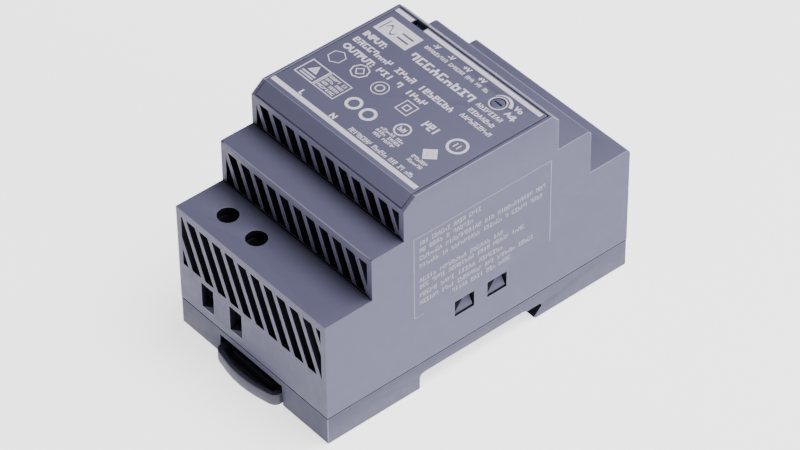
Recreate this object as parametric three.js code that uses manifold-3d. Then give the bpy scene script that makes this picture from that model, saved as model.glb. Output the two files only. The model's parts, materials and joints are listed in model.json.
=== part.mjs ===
// DIN rail power supply: a stepped plastic case that snaps onto a 35 mm top-hat rail, with its
// sprung rail latch, cover, circuit boards, screw terminals and power electronics.
// Millimetres. The rail's face is the plane z = 0, +Z points away from the rail, x runs along the
// rail and y across it, from the input terminals (-y) to the output terminals (+y).
import * as THREE from "three";
import { mergeVertices } from "three/addons/utils/BufferGeometryUtils.js";
import Module from "manifold-3d";

const wasm = await Module();
wasm.setup();

// ---- Driving dimensions ------------------------------------------------------------------

// Case, outside
const caseWidth = 52.5;
const caseLength = 90;
const frontHeight = 54.5; // front face above the rail's face
const footDepth = 4.3; // how far the feet reach behind the rail's face
const seamHeight = 3.5; // joint between base and housing
const lowerTierHeight = 31.3;
const inputMiddleHeight = 43.1;
const outputMiddleHeight = 43.9;
const inputLowerDepth = 13.4; // depth of each step, from its end of the case
const inputMiddleDepth = 22.6;
const outputLowerDepth = 12.3;
const outputMiddleDepth = 22.2;
const noseChamferLength = 3.4;
const noseChamferDrop = 2.7;
const noseBevel = 1.9;
const outputEdgeRadius = 1.2;
const wall = 1.8;
const fitGap = 0.3; // between pieces that touch or slide

// Front cover
const coverThickness = 1.6;
const coverRim = 0.9; // case wall left standing beside the cover
const coverInset = 24.8; // cover's far edge, from the output end
const coverLedge = 0.5; // shelf that the cover's far edge rests over
const coverLegLength = 6;
const coverLegWidth = 5;
const coverLegThickness = 1;
const coverLegInset = 9; // from each end of the cover
const ledNotchWidth = 3.9;
const ledNotchDepth = 1.6;
const ledFromSide = 9;

// Ventilation slots
const ventPitch = 4.56;
const ventSlotWidth = 3.1;
const ventLean = 0.417; // sideways run of a slot for each millimetre down
const ventSideMargin = 1.65;
const ventTopMargin = 2.1;
const noseVentTopMargin = 1.4;
const ventFloorMargin = 0.6;
const lowerVentHeight = 14.4;
const lowerFirstSlot = 3.62; // first full slot's upper left corner, from the case's left side
const middleFirstSlot = 2.42;
const noseFirstSlot = 2.72;

// Terminals
const screwInset = 6.95; // screw axis from the end of the case
const inputPitch = 10.16;
const inputFirstPole = 10.1; // from the case's left side
const outputPitch = 5.08;
const outputFirstPole = 17.4;
const inputScrewHole = 5.2;
const outputScrewHole = 4.4;
const entryHeight = 7.3;
const inputEntryWidth = 4.3;
const outputEntryWidth = 3.9;
const terminalWall = 1.1;
const terminalHeight = 23;
const screwSlot = 0.7;
const legHalf = 1.1; // contact legs, through slots in the board
const cageLength = 6.2;
const cageTravel = 3;
const cageWall = 0.8;
const cageTopPlate = 1.4;
const cageHeadroom = 2.1; // from the contact bar to the cage's top plate, at rest
const wireSpace = 3.9; // from the contact bar down to the cage's floor, at rest
const barThickness = 1;

// Rail hook and latch
const railFootWidth = 26.9; // input foot, along y
const hookTip = 61.3; // tip of the fixed hook, from the input end
const hookReach = 2.3; // how deep the hook's undercut is
const hookRootDrop = 0.5; // bias rib that takes up play on the rail
const latchWidth = 21.5;
const latchOffset = -1;
const latchThickness = 3.2;
const latchSideGap = 0.4;
const latchLipReach = 3.6;
const latchHookReach = 1.4;
const latchTravel = 4;
const pullRibWidth = 14;
const latchMouthHeight = 5.9; // opening in the base's end, above the feet
const springRadius = 1;
const springWire = 0.4;
const springLength = 8.4;
const springTurns = 7;

// Snap arms
const armWidth = 5.2;
const armThickness = 1.2;
const armSpacing = 9.7;
const armWindowHeight = 4.5;
const armWindowFloor = 11.55;

// Boards
const boardThickness = 1.6;
const boardClearance = 2.2; // solder side above the base's floor
const floorThickness = 1.8;
const upperBoardDrop = 7.2; // front cover's inner face to the upper board
const pegRadius = 1;
const pegInset = 3; // from the board's side
const pegFromEnd = 18.5; // from the end of the case

// Adjuster
const adjusterFromSide = 41.1;
const adjusterFromEdge = 5.4; // from the cover's far edge
const adjusterRadius = 1.6;
const adjusterSlotDepth = 0.4;
const spindleClearance = 0.2;

// ---- Places worked out from the dimensions -----------------------------------------------

const left = -caseWidth / 2;
const right = caseWidth / 2;
const inputEnd = -caseLength / 2;
const outputEnd = caseLength / 2;
const footBottom = -footDepth;
const floorTop = floorThickness;
const boardBottom = floorTop + boardClearance;
const boardTop = boardBottom + boardThickness;
const seatZ = boardTop + fitGap; // where board parts stand
const boardHalfWidth = caseWidth / 2 - wall - armThickness - 2 * fitGap;
const boardHalfLength = caseLength / 2 - wall - fitGap;
const railInput = inputEnd + railFootWidth;
const hookY = inputEnd + hookTip;
const coverEnd = outputEnd - coverInset;
const adjusterX = left + adjusterFromSide;
const adjusterY = coverEnd - adjusterFromEdge;
const noseStart = inputEnd + inputMiddleDepth;
const noseEnd = outputEnd - outputMiddleDepth;
const chamferFoot = frontHeight - noseChamferDrop;
const upperBoardTop = frontHeight - coverThickness - upperBoardDrop;
const upperBoardBottom = upperBoardTop - boardThickness;
const entryFloor = boardTop + 0.45; // lower edge of the wire openings

// ---- Solids from three.js geometry -------------------------------------------------------

function solid(geometry) {
  const bare = new THREE.BufferGeometry();
  const source = geometry.index ? geometry.toNonIndexed() : geometry;
  bare.setAttribute("position", source.getAttribute("position"));
  const merged = mergeVertices(bare, 1e-4);
  const triVerts = new Uint32Array(merged.index.array);
  const vertProperties = merged.attributes.position.array;
  const made = new wasm.Manifold(new wasm.Mesh({ numProp: 3, vertProperties, triVerts }));
  if (made.volume() > 0) return made;
  for (let i = 0; i < triVerts.length; i += 3) {
    [triVerts[i + 1], triVerts[i + 2]] = [triVerts[i + 2], triVerts[i + 1]];
  }
  return new wasm.Manifold(new wasm.Mesh({ numProp: 3, vertProperties, triVerts }));
}

function block(x0, x1, y0, y1, z0, z1) {
  const geometry = new THREE.BoxGeometry(x1 - x0, y1 - y0, z1 - z0);
  return solid(geometry.translate((x0 + x1) / 2, (y0 + y1) / 2, (z0 + z1) / 2));
}

// Extrudes an outline whose own axes are turned to the given world axes.
function prism(points, start, depth, axisU, axisV, axisDepth) {
  const isShape = points instanceof THREE.Shape;
  const shape = isShape ? points : new THREE.Shape(points.map(([u, v]) => new THREE.Vector2(u, v)));
  const geometry = new THREE.ExtrudeGeometry(shape, { depth, bevelEnabled: false, curveSegments: 6 });
  geometry.translate(0, 0, start);
  return solid(geometry.applyMatrix4(new THREE.Matrix4().makeBasis(axisU, axisV, axisDepth)));
}

const X = new THREE.Vector3(1, 0, 0);
const Y = new THREE.Vector3(0, 1, 0);
const Z = new THREE.Vector3(0, 0, 1);
const minusY = new THREE.Vector3(0, -1, 0);

const prismAlongX = (points, x0, x1) => prism(points, x0, x1 - x0, Y, Z, X); // outline in y, z
const prismAlongY = (points, y0, y1) => prism(points, -y1, y1 - y0, X, Z, minusY); // outline in x, z
const prismAlongZ = (points, z0, z1) => prism(points, z0, z1 - z0, X, Y, Z); // outline in x, y

function rod(x, y, radius, z0, z1, sides = 24) {
  const geometry = new THREE.CylinderGeometry(radius, radius, z1 - z0, sides);
  return solid(geometry.rotateX(Math.PI / 2).translate(x, y, (z0 + z1) / 2));
}

// A turned shape about a vertical axis, from [radius, z] points that start and end on the axis.
function turned(x, y, profile, sides = 24) {
  const geometry = new THREE.LatheGeometry(profile.map(([r, z]) => new THREE.Vector2(r, z)), sides);
  return solid(geometry.rotateX(Math.PI / 2).scale(1, -1, 1).translate(x, y, 0));
}

const join = (...solids) => solids.flat().reduce((whole, piece) => whole.add(piece));
const cut = (body, ...tools) => tools.flat().reduce((rest, tool) => rest.subtract(tool), body);

// Moves each side of a closed outline inwards by a distance.
function insetOutline(points, distance) {
  const count = points.length;
  let area = 0;
  points.forEach(([u, v], i) => {
    const [nextU, nextV] = points[(i + 1) % count];
    area += u * nextV - nextU * v;
  });
  const turn = Math.sign(area);
  return points.map(([u, v], i) => {
    const [previousU, previousV] = points[(i + count - 1) % count];
    const [nextU, nextV] = points[(i + 1) % count];
    const arriving = new THREE.Vector2(u - previousU, v - previousV).normalize();
    const leaving = new THREE.Vector2(nextU - u, nextV - v).normalize();
    const normalA = new THREE.Vector2(-arriving.y, arriving.x).multiplyScalar(turn);
    const normalB = new THREE.Vector2(-leaving.y, leaving.x).multiplyScalar(turn);
    const middle = normalA.clone().add(normalB);
    const scale = (2 * distance) / middle.lengthSq();
    return [u + middle.x * scale, v + middle.y * scale];
  });
}

// Replaces a corner by an arc of short sides; before and after are its neighbours.
function roundedCorner(before, corner, after, radius, steps = 4) {
  const c = new THREE.Vector2(...corner);
  const towardsBefore = new THREE.Vector2(...before).sub(c).normalize();
  const towardsAfter = new THREE.Vector2(...after).sub(c).normalize();
  const halfAngle = Math.acos(towardsBefore.dot(towardsAfter)) / 2;
  const reach = radius / Math.tan(halfAngle);
  const start = c.clone().addScaledVector(towardsBefore, reach);
  const end = c.clone().addScaledVector(towardsAfter, reach);
  const bisector = towardsBefore.clone().add(towardsAfter).normalize();
  const centre = c.clone().addScaledVector(bisector, radius / Math.sin(halfAngle));
  const first = start.clone().sub(centre).angle();
  let sweep = end.clone().sub(centre).angle() - first;
  if (sweep > Math.PI) sweep -= 2 * Math.PI;
  if (sweep < -Math.PI) sweep += 2 * Math.PI;
  return Array.from({ length: steps + 1 }, (_, i) => {
    const angle = first + (sweep * i) / steps;
    return [centre.x + radius * Math.cos(angle), centre.y + radius * Math.sin(angle)];
  });
}

// ---- Materials ---------------------------------------------------------------------------

function material(color, roughness, metalness = 0) {
  return new THREE.MeshStandardMaterial({ color, roughness, metalness });
}

const casePlastic = material(0x6f7186, 0.5);
const latchPlastic = material(0x5a5c66, 0.5);
const terminalPlastic = material(0x17171a, 0.55);
const blackPlastic = material(0x1b1b1e, 0.5);
const boardLaminate = material(0x2c5a34, 0.45);
const plated = material(0xb9bcc2, 0.3, 1);
const springSteel = material(0x8d9096, 0.35, 1);
const aluminium = material(0xa7abb2, 0.4, 1);
const copper = material(0xa4572c, 0.4, 0.8);
const ferrite = material(0x2b2b2d, 0.7);
const tape = material(0xd8b23a, 0.4);
const film = material(0xc8a24a, 0.5);
const greySleeve = material(0x23242b, 0.35);
const blueEpoxy = material(0x2c4f8f, 0.4);
const smokedClear = material(0x2a2d33, 0.15);
const fibre = material(0xcfd0c8, 0.6);

const part = new THREE.Group();

function addMesh(name, shape, finish, parent = part) {
  const data = shape.getMesh();
  const geometry = new THREE.BufferGeometry();
  geometry.setAttribute("position", new THREE.BufferAttribute(new Float32Array(data.vertProperties), 3));
  geometry.setIndex(new THREE.BufferAttribute(new Uint32Array(data.triVerts), 1));
  geometry.computeVertexNormals();
  const mesh = new THREE.Mesh(geometry, finish);
  mesh.name = name;
  parent.add(mesh);
  return mesh;
}

// ---- Upper housing -----------------------------------------------------------------------

// The case's side view above the seam, with an edge radius on the output steps.
function caseOutline(radius) {
  const outline = [
    [inputEnd, seamHeight],
    [outputEnd, seamHeight],
    [outputEnd, lowerTierHeight],
    [outputEnd - outputLowerDepth, lowerTierHeight],
    [outputEnd - outputLowerDepth, outputMiddleHeight],
    [noseEnd, outputMiddleHeight],
    [noseEnd, frontHeight - noseBevel],
    [noseEnd - noseBevel, frontHeight],
    [noseStart + noseChamferLength, frontHeight],
    [noseStart, chamferFoot],
    [noseStart, inputMiddleHeight],
    [inputEnd + inputLowerDepth, inputMiddleHeight],
    [inputEnd + inputLowerDepth, lowerTierHeight],
    [inputEnd, lowerTierHeight],
  ];
  if (!radius) return outline;
  return outline.flatMap((point, i) => {
    const isOutputEdge = i === 2 || i === 4;
    return isOutputEdge ? roundedCorner(outline[i - 1], point, outline[i + 1], radius) : [point];
  });
}

// Leaning slots through a wall at one end, cut off square at both sides of the case. They lean
// the other way round at the output end, where the wall faces the other way.
function ventSlots(sign, wallY, bottom, top, firstSlot) {
  const run = ventLean * (top - bottom);
  const extraSlots = Math.ceil(run / ventPitch) + 1; // their lower ends still show
  const cutStart = sign < 0 ? wallY - wall : wallY - 2 * wall;
  const cutEnd = cutStart + 3 * wall;
  const slots = [];
  for (let x = left + firstSlot - extraSlots * ventPitch; x < right; x += ventPitch) {
    const outline = [
      [x + run, bottom],
      [x + run + ventSlotWidth, bottom],
      [x + ventSlotWidth, top],
      [x, top],
    ];
    slots.push(prismAlongY(outline.map(([u, v]) => [-sign * u, v]), cutStart, cutEnd));
  }
  const within = block(left + ventSideMargin, right - ventSideMargin, cutStart, cutEnd, bottom, top);
  return join(slots).intersect(within);
}

// The x of each terminal, in the case's frame, for the input or output row.
const inputPoles = [0, 1].map((i) => left + inputFirstPole + i * inputPitch);
const outputPoles = [0, 1, 2, 3].map((i) => left + outputFirstPole + i * outputPitch);

// A wire opening through an end wall, with its sill sloping in.
function wireEntry(x, endY, inward, width) {
  const sill = 1.5;
  const outline = [
    [endY - inward, entryFloor],
    [endY, entryFloor],
    [endY + inward * (wall + 0.5), entryFloor + sill],
    [endY + inward * (wall + 0.5), entryFloor + entryHeight],
    [endY - inward, entryFloor + entryHeight],
  ];
  return prismAlongX(outline, x - width / 2, x + width / 2);
}

const armCentres = [-1, 1].map((i) => (i * armSpacing) / 2);

// Lines that run under the cover's outside faces, at a depth below them.
const chamferSlope = new THREE.Vector2(noseChamferLength, noseChamferDrop).normalize();
const underChamfer = (depth, z) => noseStart + ((z - chamferFoot) * chamferSlope.x + depth) / chamferSlope.y;
const underBend = (depth) => noseStart + noseChamferLength + (depth * (1 - chamferSlope.x)) / chamferSlope.y;

// The cover's side view: a plate bent down the nose chamfer. Its outside follows the case.
function coverPlate(halfWidth) {
  const foot = chamferFoot + fitGap;
  const outline = [
    [underChamfer(0, foot), foot],
    [noseStart + noseChamferLength, frontHeight],
    [coverEnd, frontHeight],
    [coverEnd, frontHeight - coverThickness],
    [underBend(coverThickness), frontHeight - coverThickness],
    [underChamfer(coverThickness, foot), foot],
  ];
  return prismAlongX(outline, -halfWidth, halfWidth);
}

function makeHousing() {
  const outer = prismAlongX(caseOutline(outputEdgeRadius), left, right);
  const inner = insetOutline(caseOutline(0), wall);
  inner[0][1] = seamHeight - 1;
  inner[1][1] = seamHeight - 1;
  let shell = cut(outer, prismAlongX(inner, left + wall, right - wall));

  // Seat for the cover: a rebate round the top of the nose, and the opening inside it.
  const coverHalf = caseWidth / 2 - coverRim;
  const rebateDepth = coverThickness + fitGap;
  const rebate = [
    [noseStart - 1, chamferFoot],
    [underChamfer(rebateDepth, chamferFoot), chamferFoot],
    [underBend(rebateDepth), frontHeight - rebateDepth],
    [coverEnd + fitGap, frontHeight - rebateDepth],
    [coverEnd + fitGap, frontHeight + 1],
    [noseStart - 1, frontHeight + 1],
  ];
  const openingEnd = coverEnd - coverLedge;
  const opening = [
    [noseStart + wall, chamferFoot - 2 * wall],
    [openingEnd, chamferFoot - 2 * wall],
    [openingEnd, frontHeight],
    [noseStart + wall, frontHeight],
  ];
  shell = cut(
    shell,
    prismAlongX(rebate, -coverHalf, coverHalf),
    prismAlongX(opening, left + wall, right - wall),
  );

  // Slots in the three risers at each end.
  const lowerTop = lowerTierHeight - ventTopMargin;
  const ends = [
    [-1, inputLowerDepth, inputMiddleDepth, inputMiddleHeight, chamferFoot],
    [1, outputLowerDepth, outputMiddleDepth, outputMiddleHeight, frontHeight - noseBevel],
  ];
  for (const [sign, lower, middle, height, riserTop] of ends) {
    const end = sign * outputEnd;
    const middleFloor = lowerTierHeight + ventFloorMargin;
    const noseFloor = height + ventFloorMargin;
    const noseTop = riserTop - noseVentTopMargin;
    shell = cut(
      shell,
      ventSlots(sign, end, lowerTop - lowerVentHeight, lowerTop, lowerFirstSlot),
      ventSlots(sign, end - sign * lower, middleFloor, height - ventTopMargin, middleFirstSlot),
      ventSlots(sign, end - sign * middle, noseFloor, noseTop, noseFirstSlot),
    );
  }

  // Screw holes and wire openings.
  const holeTop = lowerTierHeight + 1;
  const holeBottom = lowerTierHeight - wall - 1;
  for (const x of inputPoles) {
    shell = cut(
      shell,
      rod(x, inputEnd + screwInset, inputScrewHole / 2, holeBottom, holeTop),
      wireEntry(x, inputEnd, 1, inputEntryWidth),
    );
  }
  for (const x of outputPoles) {
    shell = cut(
      shell,
      rod(x, outputEnd - screwInset, outputScrewHole / 2, holeBottom, holeTop),
      wireEntry(x, outputEnd, -1, outputEntryWidth),
    );
  }

  // Windows that catch the base's snap arms.
  for (const y of armCentres) {
    const half = armWidth / 2 + fitGap;
    const windowTop = armWindowFloor + armWindowHeight;
    shell = cut(shell, block(left - 1, right + 1, y - half, y + half, armWindowFloor, windowTop));
  }
  return shell;
}

function makeCover() {
  const half = caseWidth / 2 - coverRim - fitGap;
  const notchStart = left + ledFromSide - ledNotchWidth / 2;
  const above = frontHeight + 1;
  let cover = cut(
    coverPlate(half),
    block(notchStart, notchStart + ledNotchWidth, coverEnd - ledNotchDepth, coverEnd + 1, 0, above),
    rod(adjusterX, adjusterY, adjusterRadius + spindleClearance, 0, above),
  );
  // Legs that grip the inside of the case walls.
  const legOuter = caseWidth / 2 - wall - fitGap;
  const legBottom = frontHeight - coverThickness - coverLegLength;
  for (const side of [-1, 1]) {
    const x0 = side > 0 ? legOuter - coverLegThickness : -legOuter;
    for (const y of [noseStart + coverLegInset, coverEnd - coverLegInset]) {
      const y0 = y - coverLegWidth / 2;
      const y1 = y + coverLegWidth / 2;
      cover = cover.add(block(x0, x0 + coverLegThickness, y0, y1, legBottom, frontHeight - 1));
    }
  }
  return cover;
}

// ---- Base --------------------------------------------------------------------------------

const latchX = latchOffset;
const latchHalf = latchWidth / 2;
const latchBottom = footBottom + 0.3;
const latchTop = latchBottom + latchThickness;
const latchMiddle = (latchBottom + latchTop) / 2;
const mouthDepth = 1.8;
const postY = inputEnd + 8.6; // spring abutment on the base
const postDepth = 1.4;
const tongueReach = 0.8; // tongues at the latch's sides, in grooves in the base
const tongueHalf = 0.55;
const grooveGap = 0.35;
const grooveInset = 5; // where the grooves start, from the input end

function makeBase() {
  const rootRadius = 1.2;
  const biasLength = 3.6; // of the rib under the hook, with half of it a ramp
  const top = seamHeight - fitGap;
  const undercut = hookY + hookReach;
  const corner = roundedCorner([railInput, footBottom], [railInput, 0], [hookY, 0], rootRadius);
  const outline = [
    [inputEnd, footBottom],
    [railInput, footBottom],
    ...corner,
    [hookY - biasLength, 0],
    [hookY - biasLength / 2, -hookRootDrop],
    [undercut - 0.5, -hookRootDrop],
    [undercut, -hookRootDrop - 0.4],
    [undercut, -hookRootDrop - 0.9],
    [hookY, -footDepth + 0.6],
    [hookY + 0.6, footBottom],
    [outputEnd, footBottom],
    [outputEnd, top],
    [inputEnd, top],
  ];
  let base = prismAlongX(outline, left, right);

  // Tray above the floor, and a pocket that lightens the output foot.
  base = cut(
    base,
    block(left + wall, right - wall, inputEnd + wall, outputEnd - wall, floorTop, seamHeight + 1),
    block(left + wall, right - wall, undercut + wall, outputEnd - wall, footBottom + wall, floorTop + 1),
  );

  // Latch channel: mouth in the end wall, slideway through the foot, and side grooves.
  const mouthTop = footBottom + latchMouthHeight;
  const slideTop = latchTop + fitGap;
  const halfMouth = latchHalf + latchSideGap;
  const halfGroove = halfMouth + tongueReach + latchSideGap;
  const mouth = [latchX - halfMouth, latchX + halfMouth];
  const grooves = [latchX - halfGroove, latchX + halfGroove];
  const grooveHeights = [latchMiddle - tongueHalf - grooveGap, latchMiddle + tongueHalf + grooveGap];
  base = cut(
    base,
    block(...mouth, inputEnd - 1, inputEnd + mouthDepth, footBottom - 1, mouthTop),
    block(...mouth, inputEnd - 1, railInput + 1, footBottom - 1, slideTop),
    block(...grooves, inputEnd + grooveInset, railInput + 1, ...grooveHeights),
  );
  // Abutment for the latch spring.
  const postHalf = springRadius + springWire + 0.4;
  const postAcross = [latchX - postHalf, latchX + postHalf];
  const post = block(...postAcross, postY, postY + postDepth, latchBottom, slideTop + 0.5);
  base = base.add(post);

  // Snap arms with wedge heads in the housing's windows.
  const armOuter = caseWidth / 2 - wall - fitGap;
  const armInner = armOuter - armThickness;
  const headOuter = armOuter + wall - 0.1;
  const rootOuter = caseWidth / 2 - 0.5;
  const armFloor = floorTop - 0.5;
  const headFloor = armWindowFloor + fitGap;
  const headTop = armWindowFloor + armWindowHeight - 0.5;
  const armOutline = [
    [rootOuter, armFloor],
    [rootOuter, top],
    [armOuter, top],
    [armOuter, headFloor],
    [headOuter, headFloor],
    [headOuter, headFloor + 0.6],
    [armOuter, headTop],
    [armInner, headTop + 1],
    [armInner, armFloor],
  ];
  for (const side of [-1, 1]) {
    const outline = armOutline.map(([x, z]) => [side * x, z]);
    for (const y of armCentres) {
      base = base.add(prismAlongY(outline, y - armWidth / 2, y + armWidth / 2));
    }
  }

  // Pegs that carry and locate the main board.
  for (const [x, y] of pegPlaces) {
    const shoulder = rod(x, y, pegRadius + 1, footBottom + 1, boardBottom - fitGap, 16);
    base = base.add(shoulder).add(rod(x, y, pegRadius, floorTop, boardTop + 0.8, 16));
  }
  return base;
}

const pegX = boardHalfWidth - pegInset;
const pegY = caseLength / 2 - pegFromEnd;
const pegPlaces = [
  [-pegX, -pegY],
  [pegX, -pegY],
  [-pegX, pegY],
  [pegX, pegY],
];

// ---- Latch and spring --------------------------------------------------------------------

const windowStart = postY - 0.4;
const springStart = postY + postDepth + 0.2;
const windowEnd = springStart + springLength + 0.3;

function makeLatch() {
  // Plan view: a bar with a D-shaped lip outside the case.
  const lipCorner = 3;
  const plan = new THREE.Shape();
  const rear = railInput + latchHookReach;
  plan.moveTo(latchX + latchHalf, rear);
  plan.lineTo(latchX - latchHalf, rear);
  plan.lineTo(latchX - latchHalf, inputEnd - 0.4);
  plan.quadraticCurveTo(
    latchX - latchHalf,
    inputEnd - latchLipReach * 0.6,
    latchX - latchHalf + lipCorner,
    inputEnd - latchLipReach * 0.72,
  );
  plan.quadraticCurveTo(
    latchX,
    inputEnd - latchLipReach * 1.28,
    latchX + latchHalf - lipCorner,
    inputEnd - latchLipReach * 0.72,
  );
  plan.quadraticCurveTo(
    latchX + latchHalf,
    inputEnd - latchLipReach * 0.6,
    latchX + latchHalf,
    inputEnd - 0.4,
  );
  plan.closePath();
  let latch = prismAlongZ(plan, latchBottom, latchTop);

  // Pull pocket behind the lip's rim, with a rib across it.
  const rim = 1.1;
  const pocketHalf = latchHalf - 1.6;
  const pocketRear = inputEnd + 4.2;
  const pocketFront = inputEnd - 0.9;
  const pocketTip = inputEnd - (latchLipReach - rim) * 1.5;
  const pocketFloor = latchBottom + 0.9;
  const pocket = new THREE.Shape();
  pocket.moveTo(latchX + pocketHalf, pocketRear);
  pocket.lineTo(latchX - pocketHalf, pocketRear);
  pocket.lineTo(latchX - pocketHalf, pocketFront);
  pocket.quadraticCurveTo(latchX, pocketTip, latchX + pocketHalf, pocketFront);
  pocket.closePath();
  latch = cut(latch, prismAlongZ(pocket, pocketFloor, latchTop + 1));
  const rib = [latchX - pullRibWidth / 2, latchX + pullRibWidth / 2];
  latch = latch.add(block(...rib, inputEnd + 0.2, inputEnd + 1.1, pocketFloor - 0.4, latchTop));

  // Window for the spring and its abutment.
  const windowHalf = springRadius + springWire + 0.9;
  const window = [latchX - windowHalf, latchX + windowHalf, windowStart, windowEnd];
  latch = cut(latch, block(...window, latchBottom - 1, latchTop + 1));

  // Hook under the rail's edge. Its face slopes, so that the rail pushes the latch back as the
  // case is pressed on.
  const hookTop = -1.3;
  const face = [
    [rear, hookTop - 0.6],
    [rear + 1, hookTop - 0.6],
    [rear + 1, latchBottom - 1],
    [railInput - 0.2, latchBottom - 1],
  ];
  const acrossLatch = [latchX - latchHalf - 1, latchX + latchHalf + 1];
  latch = cut(
    latch,
    block(...acrossLatch, railInput - 0.2, rear + 1, hookTop, latchTop + 1),
    prismAlongX(face, ...acrossLatch),
  );

  // Tongues that run in the base's grooves.
  const tongueStart = inputEnd + grooveInset + latchTravel + 0.5;
  const tongues = [tongueStart, railInput - 1.5, latchMiddle - tongueHalf, latchMiddle + tongueHalf];
  for (const side of [-1, 1]) {
    const inner = latchX + side * (latchHalf - 1);
    const outer = latchX + side * (latchHalf + tongueReach);
    latch = latch.add(block(Math.min(inner, outer), Math.max(inner, outer), ...tongues));
  }
  return latch;
}

class CoilPath extends THREE.Curve {
  constructor(radius, length, turns) {
    super();
    Object.assign(this, { radius, length, turns });
  }
  getPoint(t, target = new THREE.Vector3()) {
    const angle = 2 * Math.PI * this.turns * t;
    return target.set(this.radius * Math.cos(angle), this.length * t, this.radius * Math.sin(angle));
  }
}

function makeSpring() {
  const sides = 6;
  const ring = Array.from({ length: sides }, (_, i) => {
    const angle = (2 * Math.PI * i) / sides;
    return new THREE.Vector2((springWire / 2) * Math.cos(angle), (springWire / 2) * Math.sin(angle));
  });
  const path = new CoilPath(springRadius, springLength - springWire, springTurns);
  const geometry = new THREE.ExtrudeGeometry(new THREE.Shape(ring), {
    steps: springTurns * 12,
    extrudePath: path,
    bevelEnabled: false,
  });
  return solid(geometry.translate(latchX, springStart + springWire / 2, latchMiddle));
}

// ---- Terminals ---------------------------------------------------------------------------

// One row of clamps at an end of the case. Built with y inwards from that end, then turned for
// the output. Each pole has a rising cage, a fixed contact bar inside it, and a captive screw.
function addTerminals(label, poles, pitch, sizes, group) {
  const { cageWidth, entryWidth, threadRadius, headRadius, names } = sizes;
  const front = wall + 0.4;
  const cageFront = screwInset - cageLength / 2;
  const cageBack = screwInset + cageLength / 2;
  const chamberFront = front + terminalWall;
  const chamberBack = cageBack + fitGap;
  const back = chamberBack + 3.1;
  const bottom = seatZ;
  const chamberFloor = bottom + 0.8;
  const cageFloor = chamberFloor + fitGap;
  const barBottom = cageFloor + cageWall + wireSpace;
  const barTop = barBottom + barThickness;
  const cageTop = barTop + cageHeadroom + cageTopPlate;
  const webBottom = cageTop + cageTravel + fitGap;
  const webTop = webBottom + 1;
  const headBottom = webTop + fitGap;
  const headTop = headBottom + 1.6;
  const top = bottom + terminalHeight;
  const barHalf = cageWidth / 2 - cageWall - fitGap;
  const legFront = chamberBack + 1;
  const legBack = legFront + 0.8;

  const first = Math.min(...poles) - pitch / 2 + 0.2;
  const last = Math.max(...poles) + pitch / 2 - 0.2;
  let body = block(first, last, front, back, bottom, top);

  poles.forEach((x, i) => {
    const across = (half) => [x - half, x + half];
    const boltHole = threadRadius + fitGap;
    body = cut(
      body,
      block(...across(cageWidth / 2 + fitGap), chamberFront, chamberBack, chamberFloor, webBottom),
      block(...across(entryWidth / 2), front - 1, chamberFront + 1, cageFloor, barBottom + 0.6),
      rod(x, screwInset, boltHole, webBottom - 1, webTop + 1, 16),
      rod(x, screwInset, headRadius + fitGap, webTop, top + 1, 20),
      block(...across(barHalf + fitGap), chamberBack - 1, legBack + fitGap, bottom - 1, barTop + fitGap),
    );

    const window = [cageFront - 1, cageBack + 1, cageFloor + cageWall, cageTop - cageTopPlate];
    const cage = cut(
      block(...across(cageWidth / 2), cageFront, cageBack, cageFloor, cageTop),
      block(...across(cageWidth / 2 - cageWall), ...window),
      rod(x, screwInset, threadRadius + 0.05, cageTop - 2, cageTop + 1, 16),
    );
    addMesh(`${label}_clamp_${names[i]}`, cage, plated, group);

    const bar = block(...across(barHalf), cageFront, legBack, barBottom, barTop);
    const leg = block(...across(legHalf), legFront, legBack, boardBottom - 1.2, barTop);
    addMesh(`${label}_contact_${names[i]}`, bar.add(leg), plated, group);

    const screw = turned(x, screwInset, [
      [0, barTop + fitGap],
      [threadRadius - 0.4, barTop + fitGap],
      [threadRadius, barTop + fitGap + 0.4],
      [threadRadius, headBottom],
      [headRadius, headBottom],
      [headRadius, headTop - 0.3],
      [headRadius - 0.3, headTop],
      [0, headTop],
    ], 20);
    const slotEnds = [screwInset - screwSlot / 2, screwInset + screwSlot / 2];
    const slot = block(...across(headRadius + 1), ...slotEnds, headTop - 0.8, headTop + 1);
    addMesh(`${label}_screw_${names[i]}`, cut(screw, slot), plated, group);
  });
  addMesh(`${label}_terminal_block`, body, terminalPlastic, group);
  return { legFront, legBack };
}

// ---- Boards ------------------------------------------------------------------------------

function makeMainBoard(legs) {
  const outline = [-boardHalfWidth, boardHalfWidth, -boardHalfLength, boardHalfLength];
  let board = block(...outline, boardBottom, boardTop);
  for (const [x, y] of pegPlaces) {
    board = cut(board, rod(x, y, pegRadius + fitGap, boardBottom - 1, boardTop + 1, 16));
  }
  const slotHalf = legHalf + fitGap;
  const slot = (x, y0, y1) => block(x - slotHalf, x + slotHalf, y0, y1, boardBottom - 1, boardTop + 1);
  for (const x of inputPoles) {
    board = cut(board, slot(x, inputEnd + legs.legFront - fitGap, inputEnd + legs.legBack + fitGap));
  }
  for (const x of outputPoles) {
    board = cut(board, slot(x, outputEnd - legs.legBack - fitGap, outputEnd - legs.legFront + fitGap));
  }
  return board;
}

// ---- Board parts -------------------------------------------------------------------------

// Aluminium can capacitor, with its pressed groove and chamfered top.
function makeCan(x, y, radius, height) {
  const top = seatZ + height;
  return turned(x, y, [
    [0, seatZ],
    [radius - 0.4, seatZ],
    [radius, seatZ + 0.4],
    [radius, seatZ + 1.6],
    [radius - 0.4, seatZ + 2],
    [radius, seatZ + 2.4],
    [radius, top - 0.6],
    [radius - 0.6, top],
    [radius - 1.4, top],
    [radius - 1.4, top - 0.3],
    [0, top - 0.3],
  ], 28);
}

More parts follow.
